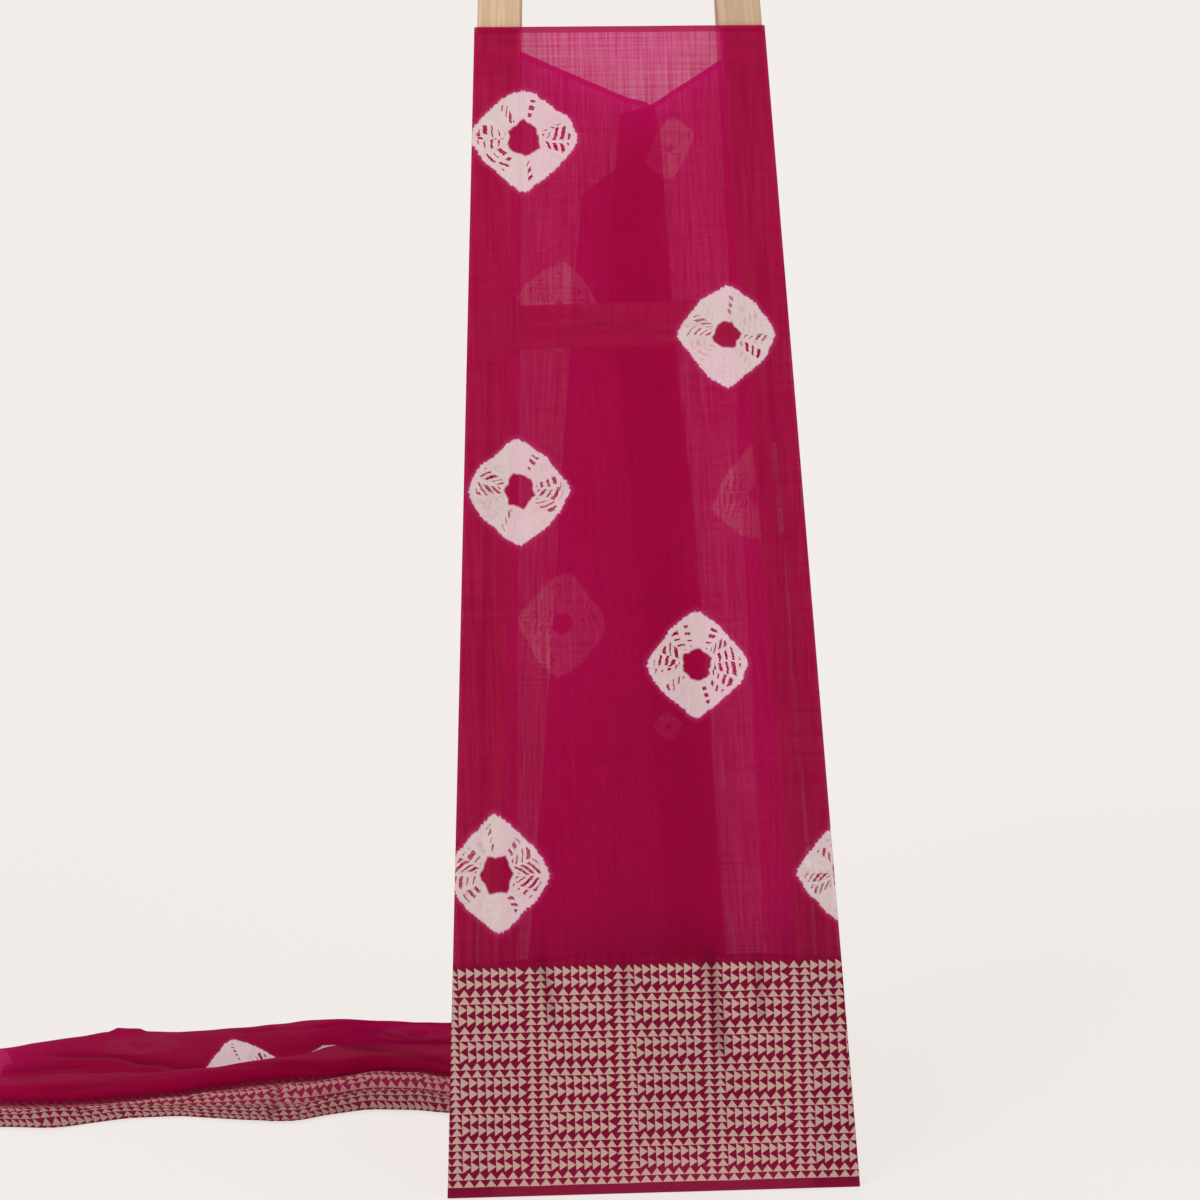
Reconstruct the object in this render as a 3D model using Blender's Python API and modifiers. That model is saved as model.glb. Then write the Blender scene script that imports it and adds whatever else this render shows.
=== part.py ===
"""Brocade cloth on a plain wooden display stand.

One long, sheer, tie-dyed cloth with a woven border is wrapped once round the two front uprights of
the stand, so that its loom width stands upright. Both flaps meet behind at one gathered point. The
long end turns back there, drops behind the frame and trails on the floor to the left, in folds.

Sizes are in metres. Stand coordinates have X across, Y away from the viewer and Z up, with the
middle of the line between the two front feet at zero; ORIGIN moves that point so that the model's
own origin is below the middle of the whole object.
"""

import math

import bmesh
import bpy
from mathutils import Matrix, Vector

# The cloth
WIDTH = 1.1176  # loom width, 44 inches
SHEET = 0.0012  # thickness of the cloth's solid
CLEAR = 0.0027  # from the wood to the middle of the sheet
HALF_FOOT = 0.1963  # half of the wrapped cloth's breadth at the floor
HALF_TOP = 0.1402  # and at its top edge
TOP_SLANT = 0.006  # how much lower the top edge is on the right
FLOOR_GAP = 0.0008  # from the floor to the middle of the lowest cloth

# The stand
LEAN = math.radians(9.5)  # the front frame leans back
BOARD = 0.041  # breadth of every board
DEPTH = 0.020  # thickness of the uprights and rear legs
RAIL_DEPTH = 0.015
ROUNDING = 0.001
SEAT = 0.0003  # between two boards that are fixed together
UPRIGHT_TOP = 1.245  # along the lean
SLOT = (0.0055, 0.060, 0.795)  # breadth, low end and high end
RAIL_HEIGHTS = {"front_rail": 0.828, "top_rail": 1.210}
REAR_FOOT = (0.165, 0.620)  # half of their spread, and how far back they stand
REAR_RAIL_HEIGHT = 0.046
REAR_GAP = 0.0005  # the rear legs slope, so their rail is a little shorter than the gap between them

# The whole object's box reaches from the tail's end to the cloth's lower right corner
ORIGIN = Vector((-0.250, 0.314, 0.0))

# Cut end of the cloth behind the frame: how high along the lean, how far right of the middle
CUT_END = ((0.0, 0.030), (0.60, 0.005), (0.95, -0.018), (1.1176, -0.002))
# The line on which the other flap turns back
TURN_LINE = ((0.0, 0.078), (0.23, 0.072), (0.68, 0.056), (0.85, 0.043), (1.1176, 0.033))
# Where the hanging part behind ends on the left, by height above the floor
HANG_EDGE = ((0.0, -0.085), (0.22, -0.080), (0.80, -0.050), (0.95, -0.040))
# How far each flap's top edge and bottom edge are drawn in. share runs from the frame's side to the
# flap's end behind
RIGHT_TOP = ((0.0, 0.006), (0.28, 0.033), (0.81, 0.077), (1.0, 0.084))
LEFT_TOP = ((0.0, 0.0), (0.167, 0.0215), (0.333, 0.0335), (0.833, 0.0655), (1.0, 0.0780))
FLAP_LIFT = ((0.0, 0.0), (0.5, 0.018), (1.0, 0.026))
# The left flap passes behind the right one
LEFT_STEP = ((0.0, 0.0), (0.25, 0.002), (0.60, 0.0065), (1.0, 0.0065))
TURN_RADIUS = 0.004
# The cloth lies against the uprights' faces above the front rail
TOUCH_HEIGHT = 0.97
TOUCH_REACH = 0.11
TOUCH_DEPTH = 0.0015
HANG_TOP = (1.0176, 0.958)  # height of the hanging part's top edge at the turn and at its end
PLUMB = ((0.0, 0.278), (0.4, 0.245), (0.95, 0.222), (1.1, 0.222))  # height, distance back
PLEAT = 0.005
# How the hanging part turns into the tail: share of the way along the cloth, how far its top edge
# has sunk, how far it has moved aside, and how far the tail's folds have formed
FALL = (
    (0.00, 0.00, 0.00, 0.00),
    (0.10, 0.16, 0.06, 0.01),
    (0.20, 0.33, 0.13, 0.03),
    (0.30, 0.49, 0.20, 0.06),
    (0.40, 0.63, 0.28, 0.11),
    (0.50, 0.75, 0.37, 0.18),
    (0.60, 0.84, 0.47, 0.28),
    (0.70, 0.91, 0.58, 0.41),
    (0.80, 0.95, 0.71, 0.58),
    (0.90, 0.98, 0.85, 0.78),
    (1.00, 1.00, 1.00, 1.00),
)

# The tail on the floor: x, how far back its near edge, the roll's front, the crease behind the roll
# and the ridge lie, the ridge's height, and the heights of the border's first and second fold
TAIL = (
    (-0.696, 0.286, 0.356, 0.384, 0.442, 0.043, 0.014, 0.010),
    (-0.670, 0.283, 0.351, 0.383, 0.448, 0.045, 0.012, 0.008),
    (-0.610, 0.273, 0.349, 0.386, 0.469, 0.046, 0.018, 0.008),
    (-0.555, 0.297, 0.353, 0.382, 0.481, 0.050, 0.014, 0.009),
    (-0.520, 0.305, 0.364, 0.381, 0.473, 0.046, 0.011, 0.010),
    (-0.480, 0.303, 0.375, 0.387, 0.483, 0.046, 0.009, 0.010),
    (-0.425, 0.282, 0.404, 0.415, 0.498, 0.046, 0.008, 0.010),
    (-0.370, 0.271, 0.414, 0.437, 0.513, 0.046, 0.009, 0.012),
    (-0.325, 0.294, 0.418, 0.475, 0.508, 0.047, 0.013, 0.015),
    (-0.270, 0.310, 0.445, 0.470, 0.500, 0.046, 0.015, 0.016),
    (-0.215, 0.286, 0.409, 0.464, 0.492, 0.045, 0.014, 0.015),
    (-0.165, 0.278, 0.402, 0.458, 0.486, 0.044, 0.012, 0.012),
)
RIDGE = 0.046  # the ridge's height in SECTION
FOLD = 0.012  # the height of the border's two folds in SECTION
LYING = 0.004  # points below this height stay as SECTION has them
UNDER_ROLL = 0.003  # the border passes under the roll this far in front of it
NOSE = 0.013  # the layers under the roll start this far behind its front
TUCK = 0.016  # the upper part comes out this far behind the crease
BACK_FOLD = 0.035  # the hidden folds reach this far behind the ridge
FAR_EDGE = 0.100  # and the far selvedge lies this far behind it

MEASURED_AT = -0.49  # the section's length there tells how far apart the rows are
# Section of the tail from the border's edge to the far selvedge: zone, share of the zone, height.
# In the zones roll and crease the share is a distance back from the anchor
SECTION = (
    ("border", 0.42, 0.0010),
    ("border", 0.20, 0.0010),
    ("border", 0.03, 0.0014),
    ("border", 0.00, 0.0045),
    ("first", 0.09, 0.0090),
    ("first", 0.22, 0.0120),
    ("first", 0.38, 0.0085),
    ("border", 0.48, 0.0045),
    ("second", 0.60, 0.0090),
    ("second", 0.74, 0.0120),
    ("second", 0.88, 0.0085),
    ("border", 0.99, 0.0045),
    ("under", 0.05, 0.0020),
    ("under", 0.45, 0.0010),
    ("under", 0.93, 0.0010),
    ("under", 1.00, 0.0035),
    ("under", 0.94, 0.0065),
    ("under", 0.50, 0.0066),
    ("under", 0.16, 0.0068),
    ("under", 0.10, 0.0098),
    ("under", 0.18, 0.0120),
    ("under", 0.60, 0.0118),
    ("under", 0.94, 0.0122),
    ("under", 1.00, 0.0150),
    ("under", 0.92, 0.0176),
    ("under", 0.50, 0.0174),
    ("under", 0.16, 0.0172),
    ("roll", 0.013, 0.0125),
    ("roll", 0.006, 0.0085),
    ("roll", 0.000, 0.0100),
    ("roll", -0.002, 0.0150),
    ("roll", 0.000, 0.0210),
    ("roll", 0.005, 0.0260),
    ("crease", 0.002, 0.0280),
    ("crease", 0.008, 0.0265),
    ("crease", 0.011, 0.0225),
    ("crease", 0.016, 0.0205),
    ("top", 0.12, 0.0230),
    ("top", 0.38, 0.0320),
    ("top", 0.70, 0.0415),
    ("top", 1.00, 0.0460),
    ("far", 0.28, 0.0370),
    ("far", 0.52, 0.0240),
    ("far", 0.68, 0.0110),
    ("far", 0.78, 0.0040),
    ("far", 0.90, 0.0010),
    ("far", 1.00, 0.0010),
)

# How many columns of faces each stretch of the cloth's length has
COLUMNS = {"right_flap": 5, "left_flap": 6, "hanging": 5, "fall": 10, "tail": 13}


def table(rows, at):
    """The value at a place in a table of (place, value) rows."""
    if at <= rows[0][0]:
        return rows[0][1]
    for (a, low), (b, high) in zip(rows, rows[1:]):
        if at <= b:
            return low + (high - low) * (at - a) / (b - a)
    return rows[-1][1]


def ease(t):
    """0 to 1 with a soft start and end."""
    t = min(max(t, 0.0), 1.0)
    return t * t * (3 - 2 * t)


def mix(a, b, t):
    return a + (b - a) * t


def half_width(v):
    return mix(HALF_FOOT, HALF_TOP, v / WIDTH)


def wood_half(v):
    """From the middle to an upright's outer side."""
    return half_width(v) - CLEAR - SHEET / 2


def lean_point(x, out, v):
    """A point v up the leaning front plane, and out in front of the uprights' face."""
    y = v * math.sin(LEAN) - out * math.cos(LEAN)
    z = v * math.cos(LEAN) + out * math.sin(LEAN)
    return Vector((x, y, z))


def tail_anchors(x):
    """The tail's folds at x."""
    x = min(max(x, TAIL[0][0]), TAIL[-1][0])
    return [table([(row[0], row[k]) for row in TAIL], x) for k in range(1, len(TAIL[0]))]


def tail_point(x, row):
    """A point of the tail's section at x."""
    near, front, crease, ridge, height, first, second = tail_anchors(x)
    zone, share, z = SECTION[row]
    border_end = front - UNDER_ROLL
    y = {
        "border": mix(near, border_end, share),
        "first": mix(near, border_end, share),
        "second": mix(near, border_end, share),
        "under": mix(front + NOSE, ridge + BACK_FOLD, share),
        "roll": front + share,
        "crease": crease + share,
        "top": mix(crease + TUCK, ridge, share),
        "far": ridge + FAR_EDGE * share,
    }[zone]
    raised = {"first": first / FOLD, "second": second / FOLD, "top": height / RIDGE, "far": height / RIDGE}
    if z > LYING:
        z *= raised.get(zone, 1.0)
    return Vector((x, y, z))


def row_heights():
    """How far each row lies from the border's edge across the loom width."""
    points = [tail_point(MEASURED_AT, k) for k in range(len(SECTION))]
    along = [0.0]
    for a, b in zip(points, points[1:]):
        along.append(along[-1] + (b - a).length)
    return [WIDTH * s / along[-1] for s in along]


def wrapped_row(v):
    """(x, out, drop, lift) across the wrapped cloth at v, from the cut end to the turn."""
    wood = wood_half(v)
    back = -(DEPTH + CLEAR)
    row = []
    steps = COLUMNS["right_flap"]
    for k in range(steps):
        share = 1 - k / steps
        x = mix(wood, table(CUT_END, v), share)
        row.append((x, back, table(RIGHT_TOP, share), table(FLAP_LIFT, share)))
    diagonal = CLEAR * math.sqrt(0.5)
    corner = (
        (0, back),
        (diagonal, -DEPTH - diagonal),
        (CLEAR, -DEPTH),
        (CLEAR, 0),
        (diagonal, diagonal),
        (0, CLEAR),
    )
    row += [(wood + a, out, TOP_SLANT, 0.0) for a, out in corner]
    inner = wood - BOARD
    touch = CLEAR - TOUCH_DEPTH * ease(1 - abs(v - TOUCH_HEIGHT) / TOUCH_REACH)
    for x, out in (
        (wood - BOARD / 2, touch),
        (inner, CLEAR),
        (inner / 2, CLEAR),
        (0.0, CLEAR),
        (-inner / 2, CLEAR),
        (-inner, CLEAR),
        (BOARD / 2 - wood, touch),
    ):
        row.append((x, out, TOP_SLANT * (0.5 + 0.5 * x / wood), 0.0))
    row += [(-wood - a, out, 0.0, 0.0) for a, out in reversed(corner)]
    steps = COLUMNS["left_flap"]
    turn = table(TURN_LINE, v)
    for k in range(1, steps + 1):
        share = k / steps
        out = back - table(LEFT_STEP, share)
        row.append((mix(-wood, turn, share), out, table(LEFT_TOP, share), table(FLAP_LIFT, share)))
    behind = row[-1][1] - TURN_RADIUS
    for k in range(1, 5):
        angle = math.radians(45 * k)
        x = turn + TURN_RADIUS * math.sin(angle)
        out = behind + TURN_RADIUS * math.cos(angle)
        row.append((x, out, WIDTH - HANG_TOP[0], FLAP_LIFT[-1][1]))
    return row


def hanging_point(v, share):
    """The part that hangs behind, from the turn, at share 0, to its left side."""
    lift = mix(FLAP_LIFT[-1][1], 0.0, ease(share))
    height = lift + v / WIDTH * (mix(*HANG_TOP, share) - lift)
    back = DEPTH + CLEAR + LEFT_STEP[-1][1] + 2 * TURN_RADIUS
    leaning = lean_point(0.0, -back, height)
    x = mix(table(TURN_LINE, v), table(HANG_EDGE, leaning.z), share)
    plumb = table(PLUMB, leaning.z)
    y = mix(leaning.y, plumb, ease(share)) + PLEAT * math.sin(share * 4 * math.pi) * ease(3 * share)
    return Vector((x, y, leaning.z))


def fall_point(v, row, share):
    """The part that sinks from the hanging edge, at share 0, to the tail's first section."""
    sink, aside, fold = (table([(line[0], line[k]) for line in FALL], share) for k in (1, 2, 3))
    hang = hanging_point(v, 1.0)
    lying = tail_point(TAIL[-1][0], row)
    z = max(hang.z * (1 - sink) + lying.z * fold, FLOOR_GAP)
    x = mix(table(HANG_EDGE, z), lying.x, aside)
    return Vector((x, mix(table(PLUMB, z), lying.y, fold), z))


def cloth_columns():
    """Every column of points across the loom width, from the cut end behind to the tail's end."""
    heights = row_heights()
    rows = []
    for row, v in enumerate(heights):
        points = []
        for x, out, drop, lift in wrapped_row(v):
            place = lean_point(x, out, lift + v / WIDTH * (WIDTH - drop - lift))
            place.z = max(place.z, FLOOR_GAP)
            points.append(place)
        for k in range(1, COLUMNS["hanging"] + 1):
            points.append(hanging_point(v, k / COLUMNS["hanging"]))
            points[-1].z = max(points[-1].z, FLOOR_GAP)
        for k in range(1, COLUMNS["fall"] + 1):
            points.append(fall_point(v, row, k / COLUMNS["fall"]))
        for k in range(1, COLUMNS["tail"] + 1):
            x = mix(TAIL[-1][0], TAIL[0][0], k / COLUMNS["tail"])
            points.append(tail_point(x, row))
        rows.append(points)
    return rows


def surface(name, material, finish=(0.8, 0.0)):
    """A Principled material of one colour."""
    made = bpy.data.materials.new(name)
    made.use_nodes = True
    shader = made.node_tree.nodes["Principled BSDF"]
    shader.inputs["Base Color"].default_value = (*material, 1.0)
    shader.inputs["Roughness"].default_value = finish[0]
    shader.inputs["Metallic"].default_value = finish[1]
    return made


def add_object(name, shape, collection, material=None):
    """Make an object from a bmesh."""
    mesh = bpy.data.meshes.new(name)
    shape.to_mesh(mesh)
    shape.free()
    made = bpy.data.objects.new(name, mesh)
    collection.objects.link(made)
    if material:
        mesh.materials.append(material)
    return made


def add_cloth(collection, material):
    """The whole cloth as one sheet, from a flat grid whose points are moved to their folds."""
    rows = cloth_columns()
    across, along = len(rows), len(rows[0])
    shape = bmesh.new()
    bmesh.ops.create_grid(shape, x_segments=along - 1, y_segments=across - 1, size=0.5)
    shape.verts.ensure_lookup_table()
    for vert in shape.verts:
        column = round((vert.co.x + 0.5) * (along - 1))
        row = round((vert.co.y + 0.5) * (across - 1))
        vert.co = rows[row][column] - ORIGIN
    cloth = add_object("brocade_cloth", shape, collection, material)
    cloth.data.shade_smooth()
    skin = cloth.modifiers.new("thickness", "SOLIDIFY")
    skin.thickness = SHEET
    skin.offset = 0.0
    return cloth


def add_box(name, size, matrix, collection, material=None):
    """A box of a size in its own axes."""
    shape = bmesh.new()
    bmesh.ops.create_cube(shape, size=1.0, matrix=Matrix.Diagonal((*size, 1.0)))
    made = add_object(name, shape, collection, material)
    made.matrix_world = matrix
    return made


def board_matrix(low, high, face):
    """Axes of a board from low to high, with its broad face turned towards face."""
    up = (high - low).normalized()
    out = (face - up * up.dot(face)).normalized()
    side = out.cross(up)
    turn = Matrix((side, out, up)).transposed().to_4x4()
    return Matrix.Translation((low + high) / 2 - ORIGIN) @ turn


def round_edges(piece):
    rounding = piece.modifiers.new("edges", "BEVEL")
    rounding.width = ROUNDING
    rounding.segments = 1


def cut(piece, cutter):
    hole = piece.modifiers.new(cutter.name, "BOOLEAN")
    hole.operation = "DIFFERENCE"
    hole.object = cutter


def add_cutter(name, size, matrix, collection):
    cutter = add_box(name, size, matrix, collection)
    cutter.hide_render = True
    cutter.display_type = "WIRE"
    return cutter


def add_rail(name, low, high, inner, depth, middle, collection, material):
    """A rail between two sloping boards. inner gives the clear half breadth at a height, and middle
    the rail's point in the frame's plane at x, depth and height."""
    shape = bmesh.new()
    bmesh.ops.create_cube(shape, size=1.0)
    for vert in shape.verts:
        height = high if vert.co.z > 0 else low
        half = inner(height) - SEAT
        x = half if vert.co.x > 0 else -half
        vert.co = middle(x, depth * vert.co.y, height) - ORIGIN
    bmesh.ops.recalc_face_normals(shape, faces=shape.faces)
    rail = add_object(name, shape, collection, material)
    round_edges(rail)
    return rail


def add_stand(collection, cutters, material):
    """The front frame of two slotted uprights and two rails, and the rear legs with theirs."""
    camera_side = Vector((0, -1, 0))
    floor = add_cutter("floor_cut", (3, 3, 0.4), Matrix.Translation((0, 0, -0.2)), cutters)

    def upright_middle(v):
        return wood_half(v) - BOARD / 2

    for name, side in (("left_upright", -1), ("right_upright", 1)):
        low = lean_point(side * upright_middle(-0.08), -DEPTH / 2, -0.08)
        high = lean_point(side * upright_middle(UPRIGHT_TOP), -DEPTH / 2, UPRIGHT_TOP)
        length = (high - low).length
        place = board_matrix(low, high, camera_side)
        upright = add_box(name, (BOARD, DEPTH, length), place, collection, material)
        round_edges(upright)
        cut(upright, floor)
        slot_low = lean_point(side * upright_middle(SLOT[1]), -DEPTH / 2, SLOT[1])
        slot_high = lean_point(side * upright_middle(SLOT[2]), -DEPTH / 2, SLOT[2])
        size = (SLOT[0], 3 * DEPTH, (slot_high - slot_low).length)
        slot = add_cutter(f"{name}_slot", size, board_matrix(slot_low, slot_high, camera_side), cutters)
        cut(upright, slot)

    def front_inner(v):
        return wood_half(v) - BOARD

    for name, height in RAIL_HEIGHTS.items():
        add_rail(
            name,
            height - BOARD / 2,
            height + BOARD / 2,
            front_inner,
            RAIL_DEPTH,
            lambda x, y, v: lean_point(x, -DEPTH / 2 - y, v),
            collection,
            material,
        )

    # The rear legs are mitred against the backs of the uprights, just below their tops
    foot_x, foot_y = REAR_FOOT
    seat_v = UPRIGHT_TOP - 0.030
    seat = lean_point(upright_middle(seat_v), -DEPTH - SEAT, seat_v)
    mitre_size = (2.0, 1.0, 3.0)
    middle = lean_point(0, mitre_size[1] / 2 - DEPTH - SEAT, 1.0)
    rise = lean_point(0, mitre_size[1] / 2 - DEPTH - SEAT, 1.2)
    turn = board_matrix(middle, rise, camera_side)
    turn.translation = middle - ORIGIN
    mitre = add_cutter("mitre_cut", mitre_size, turn, cutters)
    for name, side in (("left_rear_leg", -1), ("right_rear_leg", 1)):
        foot = Vector((side * foot_x, foot_y, 0.0))
        head = Vector((side * seat.x, seat.y, seat.z))
        along = (head - foot).normalized()
        low, high = foot - along * 0.08, head + along * 0.06
        place = board_matrix(low, high, camera_side)
        leg = add_box(name, (BOARD, DEPTH, (high - low).length), place, collection, material)
        round_edges(leg)
        cut(leg, floor)
        cut(leg, mitre)

    slope = (seat - Vector((foot_x, foot_y, 0.0))) / seat.z
    tilt = Vector((0, slope.y, 1)).normalized()
    normal = Vector((0, -tilt.z, tilt.y))

    def rear_inner(z):
        return foot_x + slope.x * z - BOARD / 2 - REAR_GAP

    def rear_point(x, y, z):
        return Vector((x, foot_y + slope.y * z, z)) - normal * y

    low, high = REAR_RAIL_HEIGHT - BOARD / 2, REAR_RAIL_HEIGHT + BOARD / 2
    add_rail("rear_rail", low, high, rear_inner, RAIL_DEPTH, rear_point, collection, material)


def build():
    for old in list(bpy.data.objects):
        bpy.data.objects.remove(old, do_unlink=True)
    parts = bpy.data.collections.new("brocade_cloth_on_stand")
    cutters = bpy.data.collections.new("cutters")
    bpy.context.scene.collection.children.link(parts)
    bpy.context.scene.collection.children.link(cutters)
    add_stand(parts, cutters, surface("pale_wood", (0.66, 0.47, 0.31), (0.55, 0.0)))
    add_cloth(parts, surface("magenta_cloth", (0.36, 0.008, 0.062), (0.80, 0.0)))


build()
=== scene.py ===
"""A sheer magenta cloth, wrapped round a leaning wooden stand and trailing on the floor.

The cloth is tie-dyed with pale diamonds and has a woven border of beige triangles along its lower
edge. Sizes are in metres, +Z is up and the viewer stands at -Y. Stand coordinates, which the tables
of the cloth use, have their zero between the two front feet.
"""

import math

import bpy
import numpy as np
from mathutils import Matrix, Vector, noise


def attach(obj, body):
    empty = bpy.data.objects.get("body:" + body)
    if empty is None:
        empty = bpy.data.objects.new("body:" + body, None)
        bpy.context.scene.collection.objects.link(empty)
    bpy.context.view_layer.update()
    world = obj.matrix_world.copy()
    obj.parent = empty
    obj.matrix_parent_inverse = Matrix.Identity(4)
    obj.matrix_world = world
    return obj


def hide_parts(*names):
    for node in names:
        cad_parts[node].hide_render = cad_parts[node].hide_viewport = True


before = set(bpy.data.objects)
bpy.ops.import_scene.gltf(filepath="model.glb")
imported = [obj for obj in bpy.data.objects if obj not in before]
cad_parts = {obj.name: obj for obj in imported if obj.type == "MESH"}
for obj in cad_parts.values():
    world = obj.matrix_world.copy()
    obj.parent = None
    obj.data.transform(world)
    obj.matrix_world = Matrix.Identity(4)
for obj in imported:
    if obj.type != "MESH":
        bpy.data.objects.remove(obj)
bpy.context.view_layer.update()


# The view: a long lens at chest height, looking slightly down, as the photograph was taken
IMAGE = 1200
VIEW_PLACE = Vector((0.2153, -3.364, 0.95))
VIEW_DOWN = math.radians(7.15)
VIEW_ROLL = math.radians(-1.663)
FOCAL_PIXELS = 3317.1

forward = Vector((0, math.cos(VIEW_DOWN), -math.sin(VIEW_DOWN)))
level = Vector((1, 0, 0))
upward = Vector((0, math.sin(VIEW_DOWN), math.cos(VIEW_DOWN)))
right = math.cos(VIEW_ROLL) * level + math.sin(VIEW_ROLL) * upward
above = -math.sin(VIEW_ROLL) * level + math.cos(VIEW_ROLL) * upward
bpy.ops.object.camera_add(location=VIEW_PLACE)
view = bpy.context.object
view.name = "view"
view.matrix_world = Matrix.Translation(VIEW_PLACE) @ Matrix((right, above, -forward)).transposed().to_4x4()
view.data.sensor_width = 36.0
view.data.lens = FOCAL_PIXELS / IMAGE * 36.0
bpy.context.scene.camera = view


# The stand: planed pale softwood boards. Each board's grain runs along its length, and its material
# turns the same grain pattern to the board's own lie.
LEAN = math.radians(9.5)
WOOD_PALE = (0.61, 0.44, 0.29, 1)
WOOD_DARK = (0.46, 0.30, 0.175, 1)


def new_group(name, inputs, outputs):
    """A shader node group with its sockets: (name, kind, value) for inputs, (name, kind) for outputs."""
    tree = bpy.data.node_groups.new(name, "ShaderNodeTree")
    for socket, kind, value in inputs:
        made = tree.interface.new_socket(socket, in_out="INPUT", socket_type=f"NodeSocket{kind}")
        if value is not None:
            made.default_value = value
    for socket, kind in outputs:
        tree.interface.new_socket(socket, in_out="OUTPUT", socket_type=f"NodeSocket{kind}")
    return tree, tree.nodes.new("NodeGroupInput"), tree.nodes.new("NodeGroupOutput")


def feed(tree, socket, value):
    """Link a socket, or set it to a value."""
    if isinstance(value, bpy.types.NodeSocket):
        tree.links.new(value, socket)
    else:
        socket.default_value = value


def calc(tree, operation, *values, clamp=False):
    """A Math node on numbers or sockets."""
    node = tree.nodes.new("ShaderNodeMath")
    node.operation = operation
    node.use_clamp = clamp
    for socket, value in zip(node.inputs, values):
        feed(tree, socket, value)
    return node.outputs[0]


def blend_of(tree, factor, a, b):
    """A mix of two colours."""
    node = tree.nodes.new("ShaderNodeMix")
    node.data_type = "RGBA"
    feed(tree, node.inputs["Factor"], factor)
    feed(tree, node.inputs["A"], a)
    feed(tree, node.inputs["B"], b)
    return node.outputs["Result"]


def ramp(tree, value, low, high):
    """0 below low and 1 above high, with soft ends."""
    node = tree.nodes.new("ShaderNodeMapRange")
    node.interpolation_type = "SMOOTHSTEP"
    feed(tree, node.inputs["Value"], value)
    feed(tree, node.inputs["From Min"], low)
    feed(tree, node.inputs["From Max"], high)
    return node.outputs["Result"]


def noise_of(tree, vector, scale, detail=2.0, stretch=None):
    """Noise on a vector, which may be stretched first."""
    if stretch:
        mapping = tree.nodes.new("ShaderNodeMapping")
        mapping.inputs["Scale"].default_value = stretch
        tree.links.new(vector, mapping.inputs["Vector"])
        vector = mapping.outputs["Vector"]
    node = tree.nodes.new("ShaderNodeTexNoise")
    node.inputs["Scale"].default_value = scale
    node.inputs["Detail"].default_value = detail
    tree.links.new(vector, node.inputs["Vector"])
    return node.outputs["Fac"]


def joined(tree, *values):
    """A vector of three numbers or sockets."""
    node = tree.nodes.new("ShaderNodeCombineXYZ")
    for socket, value in zip(node.inputs, values):
        feed(tree, socket, value)
    return node.outputs[0]


def put_group(tree, group, **values):
    """A node that holds a group, with its inputs set or linked."""
    node = tree.nodes.new("ShaderNodeGroup")
    node.node_tree = group
    for name, value in values.items():
        feed(tree, node.inputs[name], value)
    return node


grain, taken, given = new_group(
    "wood grain",
    [("Place", "Vector", None), ("Pale", "Color", WOOD_PALE), ("Dark", "Color", WOOD_DARK)],
    [("Color", "Color"), ("Roughness", "Float"), ("Height", "Float")],
)
place = taken.outputs["Place"]
rings = noise_of(grain, place, 9.0, 3.0, stretch=(9.0, 9.0, 0.35))
fibres = noise_of(grain, place, 160.0, 4.0, stretch=(4.0, 4.0, 0.05))
broad = noise_of(grain, place, 2.5, 2.0, stretch=(3.0, 3.0, 0.5))
bands = calc(grain, "SINE", calc(grain, "MULTIPLY", rings, 42.0))
bands = calc(grain, "MULTIPLY_ADD", bands, 0.22, 0.35)
tone = calc(grain, "ADD", bands, calc(grain, "MULTIPLY", calc(grain, "SUBTRACT", fibres, 0.5), 0.9))
tone = calc(grain, "MULTIPLY_ADD", calc(grain, "SUBTRACT", broad, 0.5), 0.8, tone, clamp=True)
colour = blend_of(grain, tone, taken.outputs["Pale"], taken.outputs["Dark"])
grain.links.new(colour, given.inputs["Color"])
grain.links.new(calc(grain, "MULTIPLY_ADD", fibres, 0.25, 0.45), given.inputs["Roughness"])
grain.links.new(calc(grain, "MULTIPLY_ADD", fibres, 0.6, tone), given.inputs["Height"])


def wood(name, turn, offset, tone):
    """Wood whose grain runs along a board that is turned by these angles. tone darkens it; on the uprights
    it is painted light and shade.
    """
    made = bpy.data.materials.new(name)
    made.use_nodes = True
    tree = made.node_tree
    coordinates = tree.nodes.new("ShaderNodeTexCoord")
    mapping = tree.nodes.new("ShaderNodeMapping")
    mapping.vector_type = "TEXTURE"
    mapping.inputs["Rotation"].default_value = turn
    mapping.inputs["Location"].default_value = offset
    tree.links.new(coordinates.outputs["Object"], mapping.inputs["Vector"])
    pale, dark = ((*(tone * part for part in colour[:3]), 1) for colour in (WOOD_PALE, WOOD_DARK))
    pattern = put_group(tree, grain, Place=mapping.outputs["Vector"], Pale=pale, Dark=dark)
    shader = tree.nodes["Principled BSDF"]
    tree.links.new(pattern.outputs["Color"], shader.inputs["Base Color"])
    tree.links.new(pattern.outputs["Roughness"], shader.inputs["Roughness"])
    bump = tree.nodes.new("ShaderNodeBump")
    bump.inputs["Strength"].default_value = 0.25
    bump.inputs["Distance"].default_value = 0.0004
    tree.links.new(pattern.outputs["Height"], bump.inputs["Height"])
    tree.links.new(bump.outputs["Normal"], shader.inputs["Normal"])
    return made


SPLAY = math.radians(2.9)
REAR_SLOPE = math.radians(18.6)
REAR_SPLAY = math.radians(2.4)
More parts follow.
